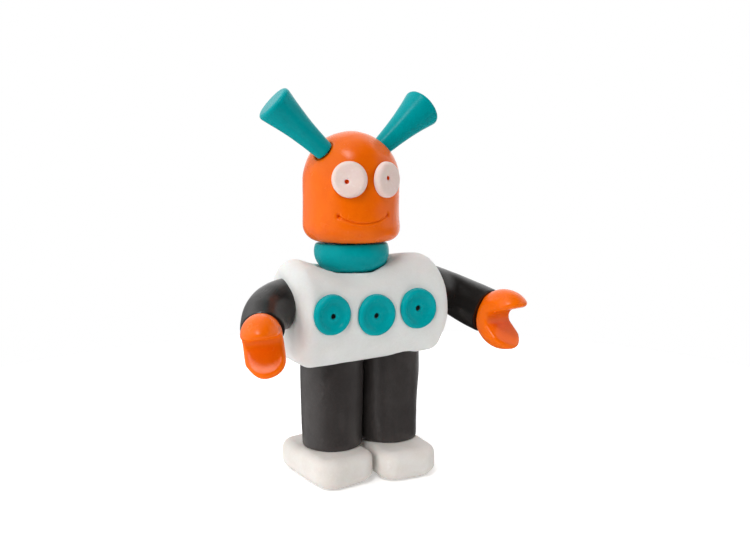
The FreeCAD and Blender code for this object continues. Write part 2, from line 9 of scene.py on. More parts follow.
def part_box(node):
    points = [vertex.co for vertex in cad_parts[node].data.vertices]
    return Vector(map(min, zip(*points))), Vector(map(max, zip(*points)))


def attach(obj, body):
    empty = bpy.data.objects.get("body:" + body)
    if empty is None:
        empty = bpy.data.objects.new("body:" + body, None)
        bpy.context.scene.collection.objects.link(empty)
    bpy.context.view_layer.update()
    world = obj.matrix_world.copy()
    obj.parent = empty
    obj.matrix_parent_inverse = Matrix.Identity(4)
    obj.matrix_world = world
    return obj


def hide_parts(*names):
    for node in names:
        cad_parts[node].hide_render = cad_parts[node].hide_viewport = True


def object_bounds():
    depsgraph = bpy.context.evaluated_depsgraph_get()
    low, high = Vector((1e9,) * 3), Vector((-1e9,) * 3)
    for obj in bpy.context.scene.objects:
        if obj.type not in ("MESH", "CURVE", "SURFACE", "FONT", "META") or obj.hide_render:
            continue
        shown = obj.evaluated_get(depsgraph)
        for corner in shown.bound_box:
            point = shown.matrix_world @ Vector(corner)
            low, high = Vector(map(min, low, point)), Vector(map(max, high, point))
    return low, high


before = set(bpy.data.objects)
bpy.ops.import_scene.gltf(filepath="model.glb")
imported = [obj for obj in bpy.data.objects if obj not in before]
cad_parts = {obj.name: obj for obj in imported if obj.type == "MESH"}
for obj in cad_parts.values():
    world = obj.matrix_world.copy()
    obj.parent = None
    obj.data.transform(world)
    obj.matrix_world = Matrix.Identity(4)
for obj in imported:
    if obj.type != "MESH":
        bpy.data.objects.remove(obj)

cad_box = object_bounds()

# Lengths below are millimetres, measured from the foot of the upright line through the
# middle of the torso log: +X to the figure's left, -Y to its front, +Z up. TORSO_HEIGHT is the
# height of the log's middle.
MM = 0.001
torso_low, torso_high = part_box("torso")
FOOT = Vector(((torso_low[0] + torso_high[0]) / 2, (torso_low[1] + torso_high[1]) / 2, 0.0))
TORSO_HEIGHT = 43.1


def metres(x, y, z):
    return FOOT + Vector((x, y, z)) * MM


# ---------------------------------------------------------------- camera

CAMERA_LENS, CAMERA_SENSOR = 36.11, 36.0
CAMERA_X, CAMERA_Y, CAMERA_ABOVE_TORSO = -90.21, -172.20, 31.29
CAMERA_TILT, CAMERA_TURN = 83.214, -28.90

camera = bpy.data.objects.new("camera", bpy.data.cameras.new("camera"))
bpy.context.scene.collection.objects.link(camera)
camera.data.lens = CAMERA_LENS
camera.data.sensor_width = CAMERA_SENSOR
camera.data.clip_start = 0.005
camera.location = metres(CAMERA_X, CAMERA_Y, TORSO_HEIGHT + CAMERA_ABOVE_TORSO)
camera.rotation_euler = (math.radians(CAMERA_TILT), 0.0, math.radians(CAMERA_TURN))
bpy.context.scene.camera = camera
bpy.context.scene.view_settings.view_transform = "Standard"


# ---------------------------------------------------------------- clay shaping

# corners closer than this are one corner
WELD = 0.0005


def clay_copy(node, voxel, rounds):
    """The CAD piece as one even skin of clay, its edges softened by rounds of smoothing, in mm."""
    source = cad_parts[node]
    mesh = source.data.copy()
    mesh.materials.clear()
    mesh.transform(Matrix.Scale(1 / MM, 4) @ Matrix.Translation(-FOOT))
    welded = bmesh.new()
    welded.from_mesh(mesh)
    bmesh.ops.remove_doubles(welded, verts=welded.verts, dist=WELD)
    welded.to_mesh(mesh)
    welded.free()
    piece = bpy.data.objects.new("clay_" + node, mesh)
    bpy.context.scene.collection.objects.link(piece)
    even = piece.modifiers.new("even", "REMESH")
    even.mode = "VOXEL"
    even.voxel_size = voxel
    soften = piece.modifiers.new("soften", "SMOOTH")
    soften.factor = 0.5
    soften.iterations = rounds
    shaped = bpy.data.meshes.new_from_object(
        piece.evaluated_get(bpy.context.evaluated_depsgraph_get()))
    piece.modifiers.clear()
    piece.data = shaped
    bpy.data.meshes.remove(mesh)
    return piece


def read_vertices(mesh, what):
    flat = np.empty(len(mesh.vertices) * 3)
    mesh.vertices.foreach_get(what, flat)
    return flat.reshape(-1, 3)


def points_of(mesh):
    return read_vertices(mesh, "co")


def normals_of(mesh):
    return read_vertices(mesh, "normal")


def bump_at(points, at, size):
    """1 at a place and falling smoothly to 0 round it; size is one radius or three."""
    away = (points - np.array(at)) / np.array(size)
    return np.exp(-(away ** 2).sum(axis=1))


def press(points, at, size, move):
    """A finger's push: the clay near a place goes along move."""
    return points + bump_at(points, at, size)[:, None] * np.array(move)


def distance_to_path(points, path):
    nearest = np.full(len(points), np.inf)
    for start, end in zip(path[:-1], path[1:]):
        start, run = np.array(start), np.array(end) - np.array(start)
        along = np.clip(((points - start) @ run) / (run @ run), 0.0, 1.0)
        nearest = np.minimum(nearest, np.linalg.norm(points - start - along[:, None] * run, axis=1))
    return nearest


def stroke(points, path, width, move):
    """A tool drawn along a path: the clay beside it goes along move."""
    weight = np.exp(-(distance_to_path(points, path) / width) ** 2)
    return points + weight[:, None] * np.array(move)


def unevenness(points, seed, size):
    """Smooth noise with hills about this size; each seed gives other hills."""
    shift = Vector((seed * 17.3, seed * 5.1, seed * 9.7))
    return np.array([noise.noise(Vector(point) / size + shift) for point in points])


def hand_made(mesh, points, seed, depth):
    """Low waves and small prints that hands leave in rolled clay."""
    mesh.vertices.foreach_set("co", points.ravel())
    mesh.update()
    waves = unevenness(points, seed, 7.0) + 0.35 * unevenness(points, seed + 0.5, 2.6)
    return points + normals_of(mesh) * (depth * waves)[:, None]


def finish_clay(piece, points, body, node, material):
    """The shaped points go back to metres, inside the CAD box, and stand in for the CAD node."""
    mesh = piece.data
    low = (cad_box[0] - FOOT) / MM
    high = (cad_box[1] - FOOT) / MM
    mesh.vertices.foreach_set("co", np.clip(points, low, high).ravel())
    mesh.transform(Matrix.Translation(FOOT) @ Matrix.Scale(MM, 4))
    mesh.polygons.foreach_set("use_smooth", [True] * len(mesh.polygons))
    mesh.update()
    mesh.materials.append(material)
    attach(piece, body)
    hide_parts(node)


# ---------------------------------------------------------------- materials

class Nodes:
    """Short calls for building one material's node tree."""

    def __init__(self, name):
        self.material = bpy.data.materials.new(name)
        self.material.use_nodes = True
        self.tree = self.material.node_tree
        self.shader = self.tree.nodes["Principled BSDF"]
        self.where = self.add("ShaderNodeTexCoord").outputs["Object"]

    def add(self, kind, **values):
        node = self.tree.nodes.new(kind)
        for name, value in values.items():
            setattr(node, name, value)
        return node

    def link(self, output, socket):
        self.tree.links.new(output, socket)

    def noise(self, size_mm, detail=3.0, rough=0.55, twist=0.0):
        node = self.add("ShaderNodeTexNoise")
        self.link(self.where, node.inputs["Vector"])
        node.inputs["Scale"].default_value = 1000.0 / size_mm
        node.inputs["Detail"].default_value = detail
        node.inputs["Roughness"].default_value = rough
        node.inputs["Distortion"].default_value = twist
        return node.outputs["Fac"]

    def span(self, value, low, high, to_low, to_high):
        node = self.add("ShaderNodeMapRange")
        self.link(value, node.inputs["Value"])
        for name, number in (("From Min", low), ("From Max", high),
                             ("To Min", to_low), ("To Max", to_high)):
            node.inputs[name].default_value = number
        return node.outputs["Result"]

    def blend(self, factor, first, second):
        node = self.add("ShaderNodeMix", data_type="RGBA")
        self.link(factor, node.inputs["Factor"])
        for socket, colour in ((node.inputs["A"], first), (node.inputs["B"], second)):
            if isinstance(colour, tuple):
                socket.default_value = (*colour, 1.0)
            else:
                self.link(colour, socket)
        return node.outputs["Result"]

    def math(self, operation, first, second):
        node = self.add("ShaderNodeMath", operation=operation)
        for socket, value in zip(node.inputs, (first, second)):
            if isinstance(value, (int, float)):
                socket.default_value = value
            else:
                self.link(value, socket)
        return node.outputs["Value"]

    def bump(self, height, depth_mm, below=None):
        node = self.add("ShaderNodeBump")
        node.inputs["Strength"].default_value = 1.0
        node.inputs["Distance"].default_value = depth_mm * MM
        self.link(height, node.inputs["Height"])
        if below is not None:
            self.link(below, node.inputs["Normal"])
        return node.outputs["Normal"]


# sizes and depths of the clay's marks, in mm
MOTTLE_SIZE, SPECK_SIZE, SATIN_SIZE, PRINT_SIZE = 5.5, 0.5, 3.0, 8.0
WAVE_SIZE, WAVE_DEPTH = 2.2, 0.09
PORE_SIZE, PORE_DEPTH = 0.32, 0.02
RIDGE_DEPTH = 0.012


def clay(name, colour, deep, pale, shine, prints=1.0, gloss=0.5, glow=0.0, glow_size=1.0):
    """Hardened modelling clay: mottled colour, pores, finger ridges and a satin skin, with convex
    edges painted paler as a painted highlight.

    shine is the smallest and largest roughness; prints scales the depth of all marks.
    """
    made = Nodes(name)
    mottled = made.noise(MOTTLE_SIZE, detail=4.0, rough=0.6, twist=0.4)
    fine = made.noise(SPECK_SIZE, detail=2.0, rough=0.5)
    # convex edges, where Pointiness is high, are blended towards the pale colour: a painted
    # highlight
    painted_edge_highlight = made.add("ShaderNodeNewGeometry").outputs["Pointiness"]
    tone = made.blend(made.span(mottled, 0.3, 0.7, 0.0, 1.0), deep, colour)
    tone = made.blend(made.span(fine, 0.45, 0.8, 0.0, 0.35), tone, pale)
    tone = made.blend(made.span(painted_edge_highlight, 0.5, 0.62, 0.0, 0.5), tone, pale)
    made.link(tone, made.shader.inputs["Base Color"])
    satin = made.noise(SATIN_SIZE, detail=5.0, rough=0.65)
    made.link(made.span(satin, 0.3, 0.7, *shine), made.shader.inputs["Roughness"])
    ridges = made.add("ShaderNodeTexWave", wave_type="RINGS", rings_direction="SPHERICAL")
    made.link(made.where, ridges.inputs["Vector"])
    ridges.inputs["Scale"].default_value = 700.0
    ridges.inputs["Distortion"].default_value = 9.0
    ridges.inputs["Detail"].default_value = 1.5
    ridges.inputs["Detail Scale"].default_value = 0.35
    patches = made.span(made.noise(PRINT_SIZE, detail=1.0), 0.52, 0.62, 0.0, 1.0)
    printed = made.math("MULTIPLY", ridges.outputs["Fac"], patches)
    waves = made.noise(WAVE_SIZE, detail=4.0, rough=0.5)
    pores = made.noise(PORE_SIZE, detail=3.0, rough=0.6)
    surface = made.bump(waves, WAVE_DEPTH * prints)
    surface = made.bump(pores, PORE_DEPTH * prints, surface)
    surface = made.bump(printed, RIDGE_DEPTH * prints, surface)
    made.link(surface, made.shader.inputs["Normal"])
    made.shader.inputs["Subsurface Weight"].default_value = glow
    made.shader.inputs["Subsurface Scale"].default_value = glow_size * MM
    made.shader.inputs["Specular IOR Level"].default_value = gloss
    return made.material


white_clay = clay("white_clay", (0.74, 0.75, 0.73), (0.69, 0.69, 0.67), (0.79, 0.80, 0.79),
                  (0.50, 0.70), gloss=0.25, glow=0.12, glow_size=1.2)
# the feet's clay is the white clay made darker and warmer: painted shade against the bright floor's
# light, and a painted warm bounce from it
foot_clay_painted_shade = clay("foot_clay_painted_shade", (0.70, 0.675, 0.64), (0.65, 0.605, 0.56), (0.74, 0.72, 0.69),
                 (0.50, 0.70), gloss=0.25, glow=0.12, glow_size=1.2)
disc_clay = clay("disc_clay", (0.86, 0.70, 0.65), (0.81, 0.63, 0.57), (0.90, 0.77, 0.73),
                 (0.42, 0.58), gloss=0.25, glow=0.15, glow_size=0.8)
orange_clay = clay("orange_clay", (0.91, 0.152, 0.0008), (0.86, 0.128, 0.0006),
                   (0.94, 0.182, 0.002), (0.20, 0.29), prints=0.8, gloss=0.25, glow=0.05,
                   glow_size=0.9)
teal_clay = clay("teal_clay", (0.0, 0.335, 0.360), (0.0, 0.295, 0.320), (0.0, 0.380, 0.40),
                 (0.22, 0.31), prints=0.45, gloss=0.08, glow=0.02, glow_size=0.6)
black_clay = clay("black_clay", (0.012, 0.010, 0.009), (0.008, 0.007, 0.006),
                  (0.019, 0.016, 0.014), (0.26, 0.36), gloss=0.66)
leg_clay = clay("leg_clay", (0.043, 0.037, 0.035), (0.030, 0.025, 0.024), (0.058, 0.051, 0.049),
                (0.32, 0.44), prints=1.3, gloss=0.60)


def wood():
    """Beech dowel: fine lengthwise streaks."""
    made = Nodes("pin_wood")
    rings = made.add("ShaderNodeTexWave", wave_type="BANDS")
    made.link(made.where, rings.inputs["Vector"])
    rings.inputs["Scale"].default_value = 260.0
    rings.inputs["Distortion"].default_value = 6.0
    rings.inputs["Detail"].default_value = 3.0
    tone = made.blend(rings.outputs["Fac"], (0.52, 0.33, 0.17), (0.66, 0.47, 0.28))
    made.link(tone, made.shader.inputs["Base Color"])
    made.link(made.span(made.noise(1.5), 0.3, 0.7, 0.5, 0.7), made.shader.inputs["Roughness"])
    made.link(made.bump(rings.outputs["Fac"], 0.02), made.shader.inputs["Normal"])
    return made.material


pin_wood = wood()
for name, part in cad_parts.items():
    if name.endswith(("_pin", "_dowel")):
        for socket in part.material_slots:
            socket.material = pin_wood


# ---------------------------------------------------------------- pieces of the skin

# the neck's axis, the height of its foot and how far out it rests on the torso
NECK_X = -2.1
NECK_FOOT = 52.8
NECK_SEAT = 8.5


def model(node, body, material, voxel, rounds, seed, depth, sculpt=None):
    """A clay piece from its CAD node: even skin, fingers' marks, then hand-made unevenness."""
    piece = clay_copy(node, voxel, rounds)
    points = hand_made(piece.data, points_of(piece.data), seed, depth)
    if sculpt is not None:
        points = sculpt(piece.data, points)
    finish_clay(piece, points, body, node, material)


def level_ramp(value, full, none):
    """1 up to full, 0 beyond none, with a smooth step between them."""
    share = np.clip((none - value) / (none - full), 0.0, 1.0)
    return share * share * (3.0 - 2.0 * share)


# ---------------------------------------------------------------- torso and neck

# the way on the ground in which the neck leans on the torso most, and the slope of the sole
LEANING = np.array((-0.86, -0.51))
SOLE_SLOPE = 0.030


def sculpt_torso(mesh, points):
    # the top gives way round the neck, most in front and to the right, down to the neck's foot
    away = points[:, :2] - np.array((NECK_X, 0.0))
    reach = np.linalg.norm(away, axis=1)
    toward = np.clip(away @ LEANING / np.maximum(reach, 1.0), 0.0, 1.0)
    upper = 1.0 - level_ramp(points[:, 2], 47.0, 52.0)
    sunk = (0.25 + 1.75 * toward) * level_ramp(reach, NECK_SEAT, 16.0) * upper
    floor_height = np.where((reach < NECK_SEAT) & (points[:, 2] > NECK_FOOT), NECK_FOOT, -1.0)
    points[:, 2] = np.maximum(points[:, 2] - sunk, floor_height)
    # the log's right end stands out at the top, and its sole runs a little lower on that side
    points = press(points, (-21.0, -4.0, 51.5), (4.0, 8.0, 5.0), (-1.40, 0.0, -0.10))
    points = press(points, (-14.0, -4.0, 56.2), (5.0, 8.0, 4.0), (0.0, 0.0, -0.35))
    low = level_ramp(points[:, 2], 33.0, 42.0)
    points[:, 2] += SOLE_SLOPE * points[:, 0] * low
    # the squeeze beside and below the right arm
    points = press(points, (-17.2, -12.2, 35.2), (3.2, 4.0, 3.4), (0.35, 0.75, 0.30))
    points = press(points, (-15.6, -13.0, 43.0), (1.6, 3.0, 7.5), (0.0, 0.30, 0.0))
    points = stroke(points, [(-18.2, -7.0, 54.0), (-18.4, -10.6, 49.5), (-18.2, -12.0, 43.0),
                             (-18.4, -11.2, 38.2)], 1.5, (-0.12, -0.32, 0.05))
    # the left end: its lower corner is rubbed round and its top stands a little higher
    points = press(points, (19.4, -9.0, 35.0), (4.5, 5.0, 4.5), (-0.12, 0.15, 0.10))
    return press(points, (14.5, -6.0, 55.6), (5.0, 5.0, 3.0), (0.0, 0.0, 0.30))


model("torso", "torso", white_clay, 0.42, 5, 1, 0.15, sculpt_torso)


def sculpt_neck(mesh, points):
    # pushed in a little where it meets the torso's right end
    return press(points, (-9.0, -5.5, 56.5), (4.0, 4.0, 2.5), (0.25, 0.15, 0.0))


model("neck", "torso", teal_clay, 0.32, 6, 2, 0.10, sculpt_neck)


# ---------------------------------------------------------------- head

HEAD_RADIUS = 12.4


def on_head(turn, height, radius=HEAD_RADIUS):
    """A place on the head's side: turn in degrees from straight ahead, to the figure's left."""
    angle = math.radians(turn)
    return (NECK_X + radius * math.sin(angle), -radius * math.cos(angle), height)


def into_head(turn, depth, rise=0.0):
    """A push towards the head's axis from that side, and up by rise."""
    angle = math.radians(turn)
    return (-depth * math.sin(angle), depth * math.cos(angle), rise)


# the smile's ends and lowest place, as turn in degrees and height; its groove, lips and corners
SMILE_ENDS, SMILE_LOW = ((-42.0, 67.1), (21.0, 67.3)), (-9.0, 65.3)
SMILE_POINTS = 33
GROOVE_DEPTH, GROOVE_WIDTH = 0.34, 0.20
LIP_HEIGHT, LIP_AWAY, LIP_WIDTH = 0.07, 0.50, 0.22
CORNER_DEPTH, CORNER_SIZE = 0.75, (0.48, 0.48, 0.62)


def smile_path():
    first, last = SMILE_ENDS
    turns = np.linspace(first[0], last[0], SMILE_POINTS)
    bowl = np.polyfit(*zip(first, SMILE_LOW, last), 2)
    return [on_head(turn, height) for turn, height in zip(turns, np.polyval(bowl, turns))]


def split_near(mesh, points, path, reach):
    """Smaller faces beside a path, so that a fine line can be drawn there."""
    mesh.vertices.foreach_set("co", points.ravel())
    close = distance_to_path(points, path) < reach
    fine = bmesh.new()
    fine.from_mesh(mesh)
    fine.verts.ensure_lookup_table()
    edges = [edge for edge in fine.edges if all(close[vertex.index] for vertex in edge.verts)]
    bmesh.ops.subdivide_edges(fine, edges=edges, cuts=2, use_grid_fill=True)
    fine.to_mesh(mesh)
    fine.free()
    mesh.update()
    return points_of(mesh)


def sculpt_head(mesh, points):
    # round the antennas, round and under the eyes, and the flat beside the mouth
    points = press(points, on_head(-50.0, 79.5, 11.6), (3.4, 3.4, 3.2), into_head(-50.0, 0.55))
    points = press(points, on_head(-78.0, 79.0, 12.0), (3.0, 4.0, 4.0), into_head(-78.0, -0.20))
    points = press(points, on_head(-6.0, 76.5), (2.6, 2.6, 4.2), into_head(-6.0, 0.55))
    points = press(points, on_head(-8.0, 70.6), (5.5, 5.0, 2.0), into_head(-8.0, 0.45))
    points = press(points, on_head(-29.0, 75.9), (6.2, 6.2, 6.0), into_head(-29.0, 0.30))
    points = press(points, on_head(18.0, 75.9), (6.0, 6.0, 6.0), into_head(18.0, 0.30))
    points = press(points, on_head(42.0, 67.5), (4.0, 4.0, 5.0), into_head(42.0, 0.35))
    points = press(points, on_head(62.0, 62.2), (5.0, 5.0, 2.6), (0.50, 0.05, -0.35))
    points = press(points, on_head(-10.0, 61.5), (9.0, 6.0, 2.0), (0.0, -0.15, -0.10))
    points = press(points, on_head(30.0, 84.0, 8.5), (3.0, 3.0, 2.6), into_head(30.0, 0.30, -0.30))
    path = smile_path()
    points = split_near(mesh, points, path, 1.6)
    axis = np.array((NECK_X, 0.0))
    inward = axis - points[:, :2]
    inward /= np.maximum(np.linalg.norm(inward, axis=1), 1.0)[:, None]
    aside = distance_to_path(points, path)
    sunk = GROOVE_DEPTH * np.exp(-(aside / GROOVE_WIDTH) ** 2)
    sunk -= LIP_HEIGHT * np.exp(-((aside - LIP_AWAY) / LIP_WIDTH) ** 2)
    for corner in (path[0], path[-1]):
        sunk += CORNER_DEPTH * bump_at(points, corner, CORNER_SIZE)
    points[:, :2] += inward * sunk[:, None]
    return points


model("head", "head", orange_clay, 0.28, 6, 3, 0.11, sculpt_head)


# ---------------------------------------------------------------- pressed-on discs

def smooth_profile(corners, steps=6):
    """A curve through the corners of a lathe profile, close to them."""
    knots = [np.array(corner, dtype=float) for corner in corners]
    curve = []
    for number in range(len(knots) - 1):
        before = knots[max(number - 1, 0)]
        start, end = knots[number], knots[number + 1]
        after = knots[min(number + 2, len(knots) - 1)]
        for step in range(steps):
            t = step / steps
            curve.append(0.5 * (2 * start + (end - before) * t
                                + (2 * before - 5 * start + 4 * end - after) * t ** 2
                                + (3 * start - before - 3 * end + after) * t ** 3))
    curve.append(knots[-1])
    return curve


DISC_SIDES = 96
ON_AXIS = 1e-4
# the hole is moved off the middle as one, from this radius, and the rim beyond that one stays
HOLE_MOVES, RIM_STAYS = 1.0, 3.6
DISC_UNEVENNESS = 0.05
RIM_OVAL = 0.012
# the share of the hole's radius and the height above the seat that the hole's colour keeps to
HOLE_SHARE, HOLE_BOTTOM = 0.98, 0.1


def lathe(curve):
    """A closed skin turned round Z from a profile of radius and height."""
    made = bmesh.new()
    rings = []
    for radius, height in curve:
        if radius < ON_AXIS:
            rings.append([made.verts.new((0.0, 0.0, height))])
            continue
        angles = [2 * math.pi * k / DISC_SIDES for k in range(DISC_SIDES)]
        rings.append([made.verts.new((radius * math.cos(angle), radius * math.sin(angle), height))
                      for angle in angles])
    for inner, outer in zip(rings[:-1], rings[1:]):
        for k in range(DISC_SIDES):
            following = (k + 1) % DISC_SIDES
            if len(inner) == 1:
                made.faces.new((inner[0], outer[k], outer[following]))
            elif len(outer) == 1:
                made.faces.new((inner[k], outer[0], inner[following]))
            else:
                made.faces.new((inner[k], outer[k], outer[following], inner[following]))
    bmesh.ops.recalc_face_normals(made, faces=made.faces)
    return made


def turned_disc(node, body, materials, profile, hole_radius, place, facing, hole_shift,
                wrap, seed):
    """A flat dot of clay, poked near its middle: a turned profile, then bent to its seat."""
    mesh = bpy.data.meshes.new("clay_" + node)
    made = lathe(smooth_profile(profile))
    hole_wall_top = profile[3][1]
    for face in made.faces:
        middle = face.calc_center_median()
        inside = math.hypot(middle.x, middle.y) < hole_radius * HOLE_SHARE
        in_hole = inside and HOLE_BOTTOM < middle.z < hole_wall_top
        face.material_index = 1 if in_hole else 0
    made.to_mesh(mesh)
    made.free()
    piece = bpy.data.objects.new("clay_" + node, mesh)
    bpy.context.scene.collection.objects.link(piece)
    points = points_of(mesh)
    reach = np.linalg.norm(points[:, :2], axis=1)
    moved = level_ramp(reach, HOLE_MOVES, RIM_STAYS)
    points[:, :2] += moved[:, None] * np.array(hole_shift)
    points = hand_made(mesh, points, seed, DISC_UNEVENNESS)
    rim = 1.0 + RIM_OVAL * np.sin(2.0 * np.arctan2(points[:, 1], points[:, 0]) + seed)
    points[:, :2] *= rim[:, None]
    points[:, 2] -= wrap * points[:, 0] ** 2
    angle = math.radians(facing)
    side = (math.cos(angle), math.sin(angle), 0.0)
    outward = (math.sin(angle), -math.cos(angle), 0.0)
    points = points @ np.array((side, (0.0, 0.0, 1.0), outward)) + np.array(place)
    mesh.materials.append(materials[0])
    finish_clay(piece, points, body, node, materials[1])


# profiles from the bottom of the hole, up over the rim and round to the back
EYE_PROFILE = [(0.0, 0.35), (0.36, 0.35), (0.52, 0.55), (0.55, 0.95), (0.66, 1.20), (1.05, 1.36),
               (1.9, 1.42), (2.8, 1.52), (3.45, 1.54), (3.92, 1.36), (4.20, 1.02), (4.32, 0.64),
               (4.32, 0.20), (4.18, 0.0), (2.0, 0.0), (0.0, 0.0)]
LEFT_EYE_TURN, RIGHT_EYE_TURN, EYE_HEIGHT, EYE_SEAT = 20.0, -29.0, 75.9, 11.62
EYE_HOLE, EYE_WRAP = 0.56, 0.008
for side, turn, shift, seed in (("right", RIGHT_EYE_TURN, (-0.60, -0.50), 4),
                                ("left", LEFT_EYE_TURN, (-0.40, 0.40), 5)):
    turned_disc(side + "_eye", "head", (disc_clay, orange_clay), EYE_PROFILE,
                EYE_HOLE, on_head(turn, EYE_HEIGHT, EYE_SEAT), turn, shift, EYE_WRAP, seed)

BUTTON_PROFILE = [(0.0, 0.30), (0.46, 0.30), (0.62, 0.45), (0.65, 0.70), (0.78, 0.92), (1.06, 1.04),
                  (1.6, 0.94), (2.4, 0.92), (3.0, 1.08), (3.5, 1.44), (3.95, 1.72), (4.38, 1.68),
                  (4.70, 1.38), (4.83, 0.95), (4.85, 0.40), (4.74, 0.0), (2.0, 0.0), (0.0, 0.0)]
BUTTON_PROFILE_RADIUS = 4.85
BUTTON_SEAT, BUTTON_HOLE = 12.48, 0.66
# each button's poked hole is lined with black clay: painted shade in the hole
for side, x, height, radius, shift, seed in (
        ("right", -13.95, 43.95, 4.78, (0.25, -0.35), 6),
        ("middle", -1.95, 42.95, 5.09, (0.0, -0.15), 7),
        ("left", 10.05, 43.65, 5.14, (0.0, 0.10), 8)):
    grown = [(across * radius / BUTTON_PROFILE_RADIUS, up) for across, up in BUTTON_PROFILE]
    turned_disc(side + "_button", "torso", (teal_clay, black_clay), grown,
                BUTTON_HOLE, (x, -BUTTON_SEAT, height), 0.0, shift, 0.0, seed)


# ---------------------------------------------------------------- antennas

for side, seed in (("right", 9), ("left", 10)):
    model(side + "_antenna", side + "_antenna", teal_clay, 0.26, 6, seed, 0.07)


# ---------------------------------------------------------------- arms and hands

def sculpt_right_arm(mesh, points):
    # the crease inside the elbow, and the swell outside it
    points = press(points, (-25.6, -6.2, 42.6), (1.9, 2.6, 3.8), (-0.10, 0.75, 0.0))
    points = press(points, (-23.4, -6.2, 43.5), (1.5, 2.6, 4.4), (0.0, -0.20, 0.0))
    points = press(points, (-29.4, -5.6, 46.4), (3.0, 3.4, 3.0), (-0.10, -0.35, 0.20))
    return points


def sculpt_left_arm(mesh, points):
    # a waist, then a swell towards the wrist
    points = press(points, (26.6, -4.6, 46.8), (2.6, 3.4, 4.0), (0.0, 0.60, -0.15))
    points = press(points, (31.6, -6.8, 42.8), (3.0, 3.2, 4.0), (0.0, -0.50, 0.15))
    points = press(points, (26.4, -3.0, 38.8), (3.4, 5.0, 2.8), (0.0, 0.0, 1.20))
    points = press(points, (33.0, -5.5, 36.4), (2.6, 4.5, 2.6), (0.0, 0.0, -0.25))
    return points


model("right_arm", "right_arm", black_clay, 0.32, 6, 11, 0.12, sculpt_right_arm)
model("left_arm", "left_arm", black_clay, 0.32, 6, 12, 0.12, sculpt_left_arm)


def claw_frame(turn, drop, roll):
    """Rows: across the jaws, up, and out of the mouth."""
    turn, drop, roll = (math.radians(angle) for angle in (turn, drop, roll))
    forward = np.array((math.sin(turn) * math.cos(drop), -math.cos(turn) * math.cos(drop),
                        -math.sin(drop)))
    up = np.array((0.0, 0.0, 1.0)) - forward * forward[2]
    up /= np.linalg.norm(up)
    across = np.cross(up, forward)
    return np.array((math.cos(roll) * across + math.sin(roll) * up,
                     math.cos(roll) * up - math.sin(roll) * across, forward))


# each claw's middle, and its turn, drop and roll in degrees
RIGHT_CLAW = np.array((-31.9, -13.5, 38.3)), claw_frame(-23.0, 26.5, 8.0)
LEFT_CLAW = np.array((38.2, -12.3, 38.4)), claw_frame(12.0, 14.5, 0.0)


def sculpt_right_hand(mesh, points):
    centre, turned = RIGHT_CLAW
    local = (points - centre) @ turned.T
    # the upper jaw is narrower
    above = 1.0 - level_ramp(local[:, 1], 0.5, 3.5)
    local[:, 0] *= 1.0 - 0.08 * above
    local[:, 0] += 0.25 * above
    # the lower jaw leans: its right corner is rubbed away and its left one stays full
    local = press(local, (-5.2, -7.6, 3.0), (3.0, 2.9, 7.0), (1.45, 0.25, 0.0))
    local = press(local, (3.6, -5.8, 3.0), (2.6, 2.6, 7.0), (0.40, -0.10, 0.0))
    local = press(local, (-0.5, 1.2, 6.5), (3.4, 1.4, 4.0), (0.0, -0.30, 0.0))
    return local @ turned + centre


def sculpt_left_hand(mesh, points):
    centre, turned = LEFT_CLAW
    local = (points - centre) @ turned.T
    # a blunt upper jaw, and a lower one that reaches a little further
    local = press(local, (0.0, 4.6, 7.4), (9.0, 1.8, 1.8), (0.0, 0.35, -0.75))
    local = press(local, (5.0, 3.8, 5.2), (2.6, 1.9, 2.6), (-0.60, -0.45, -0.45))
    local = press(local, (4.4, 2.4, 5.6), (2.8, 1.3, 2.2), (0.0, -0.50, 0.0))
    local = press(local, (0.0, -5.6, 6.0), (9.0, 2.4, 2.4), (0.0, 0.0, 0.50))
    return local @ turned + centre


model("right_hand", "right_hand", orange_clay, 0.26, 6, 13, 0.10, sculpt_right_hand)
model("left_hand", "left_hand", orange_clay, 0.26, 6, 14, 0.10, sculpt_left_hand)


# ---------------------------------------------------------------- legs and feet

TUCK = 1.2


def tuck_in(points):
    """The leg's top goes on up inside the torso, so that no gap shows under the log."""
    points[:, 2] += TUCK * (1.0 - level_ramp(points[:, 2], 26.0, 30.0))
    return points


def sculpt_right_leg(mesh, points):
    # a crease and a fold in front, low down, and a dent outside
    points = press(points, (-9.6, -8.3, 16.5), (1.1, 3.0, 4.0), (0.0, 0.28, 0.0))
    points = press(points, (-7.2, -8.4, 17.0), (0.9, 3.0, 4.6), (0.0, -0.14, 0.0))
    points = press(points, (-15.4, -3.0, 24.0), (2.0, 4.0, 6.0), (0.25, 0.05, 0.0))
    return tuck_in(points)


def sculpt_left_leg(mesh, points):
    # a long hollow beside the other leg, then a dent and a swell outside
    points = press(points, (3.6, -9.6, 22.0), (1.4, 3.0, 12.0), (0.0, 0.55, 0.0))
    points = press(points, (15.8, -3.0, 27.0), (2.0, 5.0, 5.0), (0.35, -0.1, 0.0))
    points = press(points, (15.2, -2.0, 14.0), (2.0, 5.0, 4.0), (-0.30, 0.0, 0.0))
    return tuck_in(points)


model("right_leg", "torso", leg_clay, 0.38, 6, 15, 0.12, sculpt_right_leg)
model("left_leg", "torso", leg_clay, 0.38, 6, 16, 0.12, sculpt_left_leg)


FOOT_HALF_SIZE = np.array((8.0, 12.7))
FOOT_RUB = 0.05


def sculpt_foot(mesh, points):
    # the lower edge is rubbed rounder, most at the toe
    away = points[:, :2] - points[:, :2].mean(axis=0)
    low = level_ramp(points[:, 2], 0.0, 2.6)
    edge = 1.0 - level_ramp(np.linalg.norm(away / FOOT_HALF_SIZE, axis=1), 0.75, 1.1)
    points[:, :2] -= away * (FOOT_RUB * low * edge)[:, None]
    return points


for side, seed in (("right", 17), ("left", 18)):
    model(side + "_foot", "torso", foot_clay_painted_shade, 0.32, 10, seed, 0.10, sculpt_foot)


# ---------------------------------------------------------------- floor and light

# in metres: the sheet's radius and how far it lies under the soles
FLOOR_RADIUS, FLOOR_DROP = 0.19, 0.0001
FLOOR_GLOW = 0.26
LAMP_DISTANCE = 0.5


